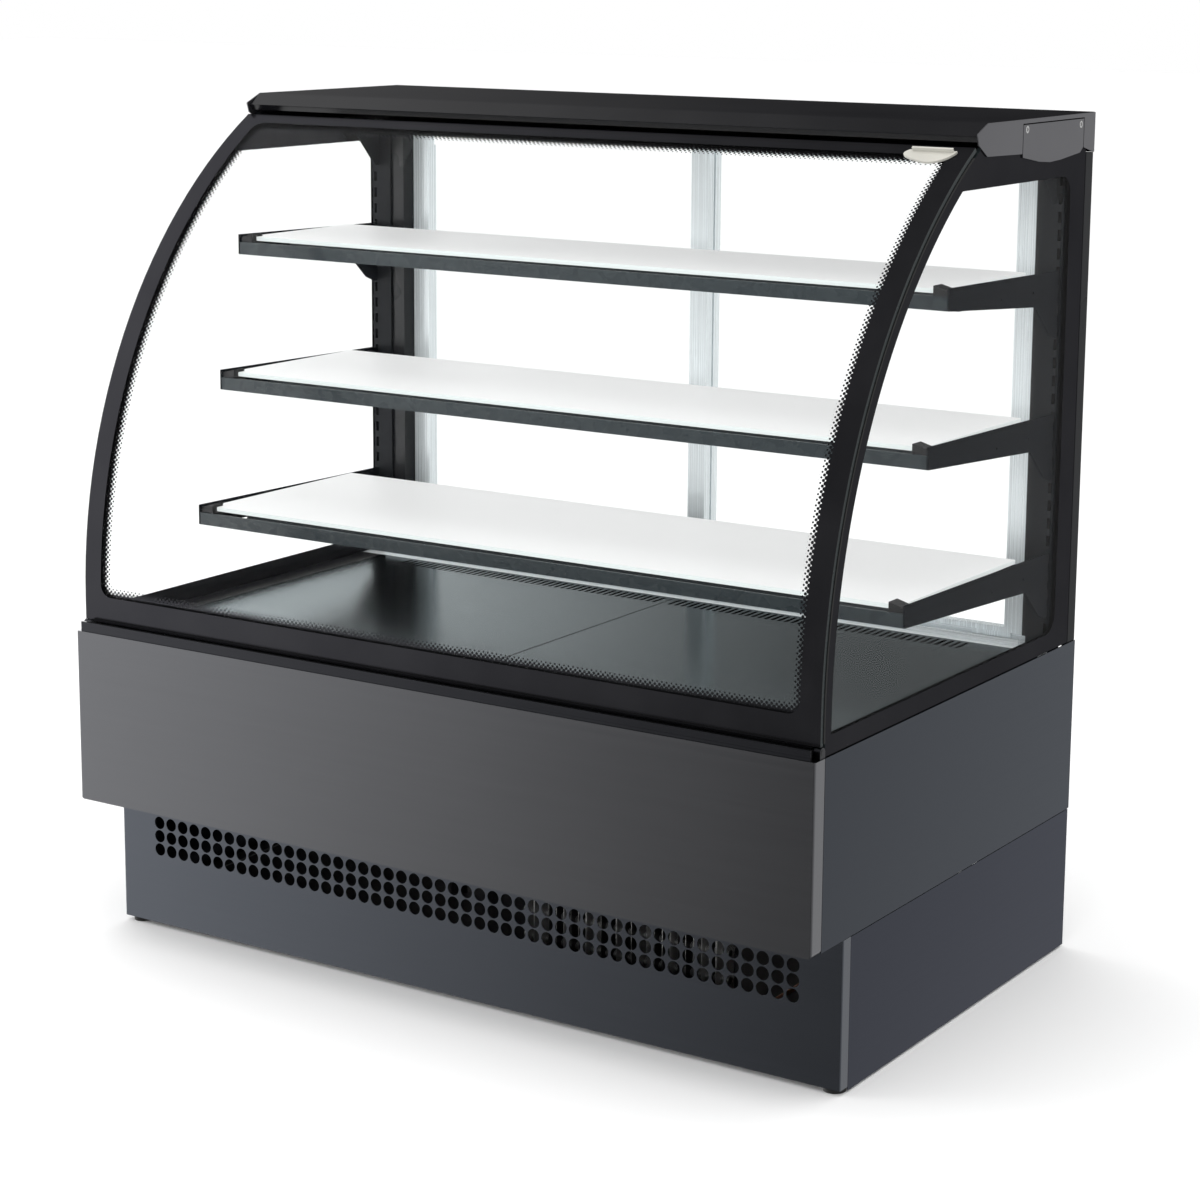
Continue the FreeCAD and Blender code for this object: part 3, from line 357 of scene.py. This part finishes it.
def front_glass_finish():
    """Bent front glass: black print round its rim that fades inwards through a dot screen."""
    graph = Graph("front_glass_printed")
    x, y, z = graph.axes(graph.place.outputs["Object"])
    rise = graph.math("SUBTRACT", z, BEND_CENTRE_Z)
    run = graph.math("SUBTRACT", BEND_CENTRE_Y, y)
    turn = graph.math("ARCTAN2", rise, run)
    girth = graph.math("ADD", graph.math("MULTIPLY", turn, BEND_RADIUS), BEND_CENTRE_Z)
    across = graph.math("SUBTRACT", CLEAR_HALF_WIDTH, graph.math("ABSOLUTE", x))
    above = graph.math("SUBTRACT", girth, CLEAR_BOTTOM)
    below = graph.math("SUBTRACT", CLEAR_TOP, girth)
    inside = rounded_inside(graph, across, graph.math("MINIMUM", above, below), CLEAR_CORNER)
    dots = dot_screen(graph, x, girth, inside)
    rim = graph.math("LESS_THAN", inside, 0.0)
    inner_face = graph.math("LESS_THAN", bend_reach(graph, rise, run), BEND_RADIUS - GLASS_THICKNESS / 2)
    ink = graph.math("MAXIMUM", graph.math("MULTIPLY", dots, inner_face), rim)
    nx, ny, nz = graph.axes(graph.place.outputs["Normal"])
    end_face = graph.math("GREATER_THAN", graph.math("ABSOLUTE", nx), 0.7)
    outward = graph.math("SUBTRACT", nz, ny)
    rim_face = graph.math("LESS_THAN", graph.math("ABSOLUTE", outward), 0.5)
    edge = graph.math("MAXIMUM", end_face, rim_face)
    shader = graph.mix_shaders(ink, clear_pane(graph), printed_black(graph))
    return graph.finish(graph.mix_shaders(edge, shader, polished_edge(graph)))


def side_glass_finish():
    """Flat end glasses: a plain black border, following the bend in front."""
    graph = Graph("side_glass_printed")
    y, z = graph.axes(graph.place.outputs["Object"])[1:]
    rise = graph.math("SUBTRACT", z, BEND_CENTRE_Z)
    run = graph.math("SUBTRACT", BEND_CENTRE_Y, y)
    from_bend = graph.math("SUBTRACT", SIDE_CLEAR_RADIUS, bend_reach(graph, rise, run))
    from_rear = graph.math("SUBTRACT", SIDE_CLEAR_REAR, y)
    from_top = graph.math("SUBTRACT", SIDE_CLEAR_TOP, z)
    from_bottom = graph.math("SUBTRACT", z, SIDE_CLEAR_BOTTOM)
    nearer_end = graph.math("MINIMUM", from_top, from_bottom)
    square = rounded_inside(graph, from_rear, nearer_end, SIDE_CLEAR_CORNER)
    inside = graph.math("MINIMUM", square, from_bend)
    printed = graph.math("LESS_THAN", inside, 0.0)
    nx = graph.axes(graph.place.outputs["Normal"])[0]
    edge = graph.math("LESS_THAN", graph.math("ABSOLUTE", nx), 0.7)
    shader = graph.mix_shaders(printed, clear_pane(graph), printed_black(graph))
    return graph.finish(graph.mix_shaders(edge, shader, polished_edge(graph)))


def door_glass_finish():
    """Plain clear panes of the rear doors."""
    graph = Graph("door_glass_clear")
    return graph.finish(clear_pane(graph))


def opal_glass_painted_glow_finish():
    """White glass shelf with an even painted glow, which stands in for the light on it, and a cooler
    ground edge.
    """
    graph = Graph("opal_shelf_glass_painted_glow")
    cloud = graph.noise(5.0, 4.0)
    white = graph.colours(cloud, (0.29, 0.29, 0.29), (0.31, 0.31, 0.31))
    nz = graph.axes(graph.place.outputs["Normal"])[2]
    edge = graph.math("LESS_THAN", graph.math("ABSOLUTE", nz), 0.5)
    base = graph.colours(edge, white, (0.30, 0.36, 0.35))
    rough = graph.vary(cloud, 0.45, 0.55)
    # The emission is painted light: an even glow that keeps the shelf top evenly white.
    shader = graph.principled(base_color=base, roughness=rough, specular_ior_level=0.05,
                              emission_color=(*WHITE, 1.0), emission_strength=0.53)
    return graph.finish(shader)


def ticket_strip_finish():
    """Smoked strip that the price tickets slide into."""
    graph = Graph("smoked_ticket_strip")
    scuff = graph.noise(40.0, 4.0)
    base = graph.colours(scuff, (0.026, 0.033, 0.037), (0.029, 0.037, 0.041))
    rough = graph.vary(scuff, 0.22, 0.34)
    return graph.finish(graph.principled(base_color=base, roughness=rough, specular_ior_level=0.25))


FIN_PITCH = 0.0021


def finned_finish():
    """Coil block: the tight aluminium fins show as fine upright lines, with painted shade in the narrow
    spaces between them.
    """
    graph = Graph("coil_fins_shaded_spaces")
    x = graph.axes(graph.place.outputs["Object"])[0]
    fin = graph.math("FRACT", graph.math("DIVIDE", graph.math("ADD", x, 10.0), FIN_PITCH))
    # Narrow spaces between the fins, painted dark as the shade inside them.
    shaded_fin_gap = graph.math("LESS_THAN", fin, 0.45)
    dust = graph.noise(35.0, 4.0)
    metal = graph.colours(dust, (0.42, 0.42, 0.42), (0.62, 0.62, 0.61))
    base = graph.colours(shaded_fin_gap, metal, (0.05, 0.05, 0.05))
    rough = graph.vary(dust, 0.35, 0.55)
    normal = graph.bump(shaded_fin_gap, 0.6, 0.0004)
    shader = graph.principled(base_color=base, metallic=0.9, roughness=rough, normal=normal)
    return graph.finish(shader)


RIM_TAPE = 0.012


def foam_finish():
    """Foamed tub with black tape round its top edge."""
    graph = Graph("insulation_skin")
    cells = graph.noise(420.0, 3.0)
    cloud = graph.noise(8.0, 4.0)
    body = graph.colours(cloud, (0.52, 0.45, 0.28), (0.62, 0.55, 0.38))
    z = graph.axes(graph.place.outputs["Object"])[2]
    rim = graph.math("GREATER_THAN", z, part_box("insulation_tub")[1].z - RIM_TAPE)
    base = graph.colours(rim, body, (0.006, 0.006, 0.006))
    shader = graph.principled(base_color=base, roughness=0.85, normal=graph.bump(cells, 0.5, 0.0005))
    return graph.finish(shader)


def lamp_finish():
    """The light bar, unlit: grey body with a milky cover below."""
    graph = Graph("light_bar")
    cloud = graph.noise(30.0, 3.0)
    nz = graph.axes(graph.place.outputs["Normal"])[2]
    under = graph.math("LESS_THAN", nz, -0.6)
    base = graph.colours(under, (0.45, 0.47, 0.48), (0.86, 0.87, 0.88))
    rough = graph.vary(cloud, 0.3, 0.42)
    return graph.finish(graph.principled(base_color=base, roughness=rough))


def deck_rim_finish():
    """Black rim whose rear ledge, under the doors, is bare stainless, with the white highlight it shows
    painted into its near-white colour.
    """
    graph = Graph("deck_rim_black_painted_highlight")
    cloud = graph.noise(6.0, 4.0)
    y = graph.axes(graph.place.outputs["Object"])[1]
    ledge = graph.math("GREATER_THAN", y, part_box("deck_pan_left")[1].y - 0.001)
    # Near white: the bare stainless of the ledge with its highlight painted in.
    bright = graph.colours(cloud, (0.76, 0.80, 0.81), (0.84, 0.87, 0.88))
    base = graph.colours(ledge, (0.012, 0.012, 0.013), bright)
    rough = graph.vary(cloud, 0.3, 0.4)
    return graph.finish(graph.principled(base_color=base, roughness=rough, specular_ior_level=0.2))


def copper_finish():
    """Copper tube, dulled in places."""
    graph = Graph("copper_tube")
    cloud = graph.noise(25.0, 5.0, 0.6)
    base = graph.colours(graph.spread(cloud, 0.35, 0.7), (0.55, 0.24, 0.13), (0.80, 0.42, 0.26))
    rough = graph.vary(cloud, 0.25, 0.45)
    shader = graph.principled(base_color=base, metallic=1.0, roughness=rough,
                              normal=graph.bump(cloud, 0.2, 0.0002))
    return graph.finish(shader)


def lens_finish():
    """Smoked display window, unlit."""
    graph = Graph("smoked_lens")
    cloud = graph.noise(40.0, 3.0)
    base = graph.colours(cloud, (0.012, 0.004, 0.004), (0.022, 0.008, 0.008))
    rough = graph.vary(cloud, 0.04, 0.1)
    return graph.finish(graph.principled(base_color=base, roughness=rough, coat_weight=0.6))


# ---------------------------------------------------------------- which part gets which

BUMPER = brushed("bumper_brushed", (0.066, 0.067, 0.071), grain=0, roughness=0.24, face=1, cut=1.8)
PLINTH = brushed("plinth_brushed", (0.047, 0.051, 0.059), grain=0, roughness=0.24, face=1, cut=1.6)
SIDES = brushed("side_brushed", (0.021, 0.0235, 0.0285), grain=1, roughness=0.34, tint=(0.92, 0.95, 1.0))
LOW_SIDES = brushed("plinth_side_brushed", (0.018, 0.0195, 0.024), grain=1, roughness=0.34,
                    tint=(0.84, 0.86, 0.94))
LINER = brushed("liner_stainless", (0.03, 0.032, 0.035), grain=0, roughness=0.3)
DECK_JOINT = (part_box("deck_pan_left")[1].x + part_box("deck_pan_right")[0].x) / 2
# The deck's returns are toned near black (cut 0.12) and a black line runs along the joint: painted shade
# on the pan returns and in the joint between the pans.
DECK = brushed("deck_stainless", (0.068, 0.077, 0.081), grain=1, roughness=0.2, contrast=0.04,
               depth=0.000001, face=2, cut=0.12, seam=DECK_JOINT, tint=(0.66, 0.69, 0.70))
FRAME_PAINT = painted("frame_paint", (0.040, 0.040, 0.043), 0.45)
BLACK_PAINT = painted("black_paint", (0.012, 0.012, 0.013), 0.4)
UPRIGHT_PAINT = lacquered("upright_paint", (0.010, 0.011, 0.013), 0.010, 0.35)
ROOF_PAINT = lacquered("roof_gloss", (0.005, 0.005, 0.006), 0.028)
COVER_PAINT = painted("cover_metallic", (0.094, 0.094, 0.102), 0.36, 1500.0, 0.00002, metallic=0.9)
BRACKET_PAINT = lacquered("bracket_paint", (0.006, 0.007, 0.009), 0.004, 0.35)
RAIL_PAINT = painted("rail_paint", (0.026, 0.031, 0.035), 0.36)
RUBBER = moulded("black_rubber", (0.008, 0.008, 0.008), 0.7)
DARK_ANODISED = anodised("dark_anodised_x", (0.018, 0.0185, 0.021), grain=0)
POST_COAT = lacquered("post_coat", (0.010, 0.0105, 0.012), 0.030, 0.3)
TRACK_ANODISED = anodised("track_anodised", (0.80, 0.84, 0.86), grain=0, roughness=0.25, metallic=0.2)
DOOR_ANODISED = anodised("door_anodised", (0.82, 0.87, 0.89), grain=2, roughness=0.25, metallic=0.2)
GRIP = moulded("grip_plastic", (0.44, 0.43, 0.39), 0.42)
SCREW = brushed("screw_zinc", (0.42, 0.42, 0.42), grain=2, roughness=0.25)
BLACK_PLASTIC = moulded("black_plastic", (0.012, 0.012, 0.013), 0.5)
GREY_PLASTIC = moulded("grey_plastic", (0.20, 0.20, 0.21), 0.5)
GREEN_ROCKER = moulded("green_rocker", (0.015, 0.24, 0.07), 0.25)

FINISHES = {
    BUMPER: ["bumper_front_panel"],
    PLINTH: ["plinth_front_panel"],
    SIDES: ["upper_side_panels"],
    LOW_SIDES: ["plinth_side_panels"],
    LINER: ["well_liner"],
    DECK: ["deck_pan_left", "deck_pan_right"],
    FRAME_PAINT: ["base_frame", "base_tray", "fan_motors", "fan_shroud"],
    BLACK_PAINT: ["ceiling_panel", "compressor", "rear_grille_panel", "rear_upper_panel"],
    UPRIGHT_PAINT: ["shelf_uprights"],
    ROOF_PAINT: ["roof_panel"],
    COVER_PAINT: ["roof_side_covers"],
    BRACKET_PAINT: ["shelf_brackets"],
    RAIL_PAINT: ["shelf_rails"],
    RUBBER: ["foot_front_left", "foot_front_right", "foot_rear_left", "foot_rear_right",
             "side_seals"],
    DARK_ANODISED: ["glass_hinge_profile", "hinge_blocks", "hinge_pins"],
    POST_COAT: ["rear_posts_and_jambs"],
    TRACK_ANODISED: ["door_tracks"],
    DOOR_ANODISED: ["left_door_frame", "right_door_frame"],
    GRIP: ["glass_grip"],
    SCREW: ["cover_screws"],
    BLACK_PLASTIC: ["condenser_fan", "evaporator_fan_left", "evaporator_fan_right",
                    "control_bezel", "light_switch", "power_inlet", "shelf_clips"],
    GREY_PLASTIC: ["button_down", "button_set", "button_up"],
    GREEN_ROCKER: ["power_switch"],
    front_glass_finish(): ["front_glass"],
    side_glass_finish(): ["side_glasses"],
    door_glass_finish(): ["left_door_glass", "right_door_glass"],
    opal_glass_painted_glow_finish(): ["shelf_glass_lower", "shelf_glass_middle", "shelf_glass_upper"],
    ticket_strip_finish(): ["ticket_strips"],
    finned_finish(): ["condenser_coil", "evaporator_coil"],
    foam_finish(): ["insulation_tub"],
    lamp_finish(): ["led_light"],
    deck_rim_finish(): ["deck_rim"],
    copper_finish(): ["refrigerant_lines"],
    lens_finish(): ["display_lens"],
}

for finish, nodes in FINISHES.items():
    for node in nodes:
        for material_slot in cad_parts[node].material_slots:
            material_slot.material = finish


# ---------------------------------------------------------------- studio

def stage_material(name, colour):
    """Matt, almost even paint for the studio."""
    graph = Graph(name)
    cloud = graph.noise(1.5, 3.0)
    base = graph.colours(cloud, tone(colour, 0.99), tone(colour, 1.01))
    return graph.finish(graph.principled(base_color=base, roughness=0.9))


FLOOR_SIZE = 60.0
FLOOR_COLOUR = (0.90, 0.90, 0.90)


def make_floor():
    """A wide pale floor under the feet."""
    bpy.ops.mesh.primitive_plane_add(size=FLOOR_SIZE, location=(0, 0, cad_low.z))
    floor = bpy.context.object
    floor.name = "studio_floor"
    floor.data.materials.append(stage_material("studio_floor_pale", FLOOR_COLOUR))
    floor.visible_glossy = False


# The light that shiny surfaces see, against the x of its direction: a bright bank on the left,
# a dim middle and a softer side on the right.
BANK_EDGES = (-0.44, -0.80)
BANK_LIGHT = (0.0, 3.6)
RIGHT_EDGES = (-0.20, 0.35)
RIGHT_LIGHT = (0.30, 1.00)
ROOM_LIGHT = 1.15
SEEN_LIGHT = 1.0


def smooth_ramp(tree, value, edges, levels):
    """Goes smoothly from the first level to the second as value goes from edge to edge."""
    ramp = tree.nodes.new("ShaderNodeMapRange")
    ramp.interpolation_type = "SMOOTHSTEP"
    ramp.inputs["From Min"].default_value = edges[0]
    ramp.inputs["From Max"].default_value = edges[1]
    ramp.inputs["To Min"].default_value = levels[0]
    ramp.inputs["To Max"].default_value = levels[1]
    tree.links.new(value, ramp.inputs["Value"])
    return ramp.outputs[0]


def make_world():
    """A white room. The eye and matt surfaces see it plain white, and shiny ones see it graded."""
    world = bpy.data.worlds.new("studio_white")
    world.use_nodes = True
    tree = world.node_tree
    tree.nodes.clear()
    place = tree.nodes.new("ShaderNodeTexCoord")
    split = tree.nodes.new("ShaderNodeSeparateXYZ")
    tree.links.new(place.outputs["Generated"], split.inputs[0])
    both = tree.nodes.new("ShaderNodeMath")
    tree.links.new(smooth_ramp(tree, split.outputs["X"], BANK_EDGES, BANK_LIGHT), both.inputs[0])
    tree.links.new(smooth_ramp(tree, split.outputs["X"], RIGHT_EDGES, RIGHT_LIGHT), both.inputs[1])
    path = tree.nodes.new("ShaderNodeLightPath")
    room = tree.nodes.new("ShaderNodeMix")
    room.inputs["A"].default_value = ROOM_LIGHT
    tree.links.new(path.outputs["Is Glossy Ray"], room.inputs["Factor"])
    tree.links.new(both.outputs[0], room.inputs["B"])
    pick = tree.nodes.new("ShaderNodeMix")
    tree.links.new(path.outputs["Is Camera Ray"], pick.inputs["Factor"])
    tree.links.new(room.outputs[0], pick.inputs["A"])
    pick.inputs["B"].default_value = SEEN_LIGHT
    light = tree.nodes.new("ShaderNodeBackground")
    light.inputs["Color"].default_value = (*WHITE, 1.0)
    tree.links.new(pick.outputs[0], light.inputs["Strength"])
    output = tree.nodes.new("ShaderNodeOutputWorld")
    tree.links.new(light.outputs[0], output.inputs["Surface"])
    bpy.context.scene.world = world


def aim(thing, place, target):
    """Stands a light at a place and points it at a target."""
    thing.location = place
    thing.rotation_mode = "QUATERNION"
    thing.rotation_quaternion = (Vector(target) - Vector(place)).to_track_quat("-Z", "Y")


def softbox(name, place, target, width, height, power):
    """A rectangular light that shiny surfaces do not show."""
    data = bpy.data.lights.new(name, "AREA")
    data.shape = "RECTANGLE"
    data.size = width
    data.size_y = height
    data.energy = power
    box = bpy.data.objects.new(name, data)
    bpy.context.collection.objects.link(box)
    box.visible_glossy = False
    aim(box, place, target)


def make_lights():
    """A broad light above, one on the left and a low one in front, all aimed at the middle."""
    middle = (0.0, 0.0, 0.6)
    softbox("softbox_top", (0.0, -0.2, 3.6), middle, 3.4, 2.6, 45.0)
    softbox("softbox_left", (-3.0, -2.4, 1.9), middle, 1.6, 2.6, 40.0)
    softbox("softbox_front", (0.8, -4.2, 1.2), middle, 2.4, 1.6, 30.0)


CAMERA_PLACE = (2.1832, cad_low.y - 2.9083, 1.4108)
CAMERA_AZIMUTH = math.radians(33.078)
CAMERA_PITCH = math.radians(10.963)
CAMERA_ROLL = math.radians(0.383)
CAMERA_LENS = 85.55
CAMERA_SHIFT = -0.08


def make_camera():
    """Long lens, a third of the way round to the right, looking a little down."""
    data = bpy.data.cameras.new("main_camera")
    data.sensor_width = 36.0
    data.lens = CAMERA_LENS
    data.shift_y = CAMERA_SHIFT
    data.clip_end = 200.0
    camera = bpy.data.objects.new("main_camera", data)
    bpy.context.collection.objects.link(camera)
    ahead = Vector((-math.sin(CAMERA_AZIMUTH) * math.cos(CAMERA_PITCH),
                    math.cos(CAMERA_AZIMUTH) * math.cos(CAMERA_PITCH),
                    -math.sin(CAMERA_PITCH)))
    right = Vector((math.cos(CAMERA_AZIMUTH), math.sin(CAMERA_AZIMUTH), 0.0))
    up = right.cross(ahead)
    level = Matrix((right, up, -ahead)).transposed()
    turn = level @ Matrix.Rotation(CAMERA_ROLL, 3, "Z")
    camera.matrix_world = Matrix.Translation(CAMERA_PLACE) @ turn.to_4x4()
    bpy.context.scene.camera = camera


make_floor()
make_world()
make_lights()
make_camera()
bpy.context.scene.view_settings.view_transform = "Standard"
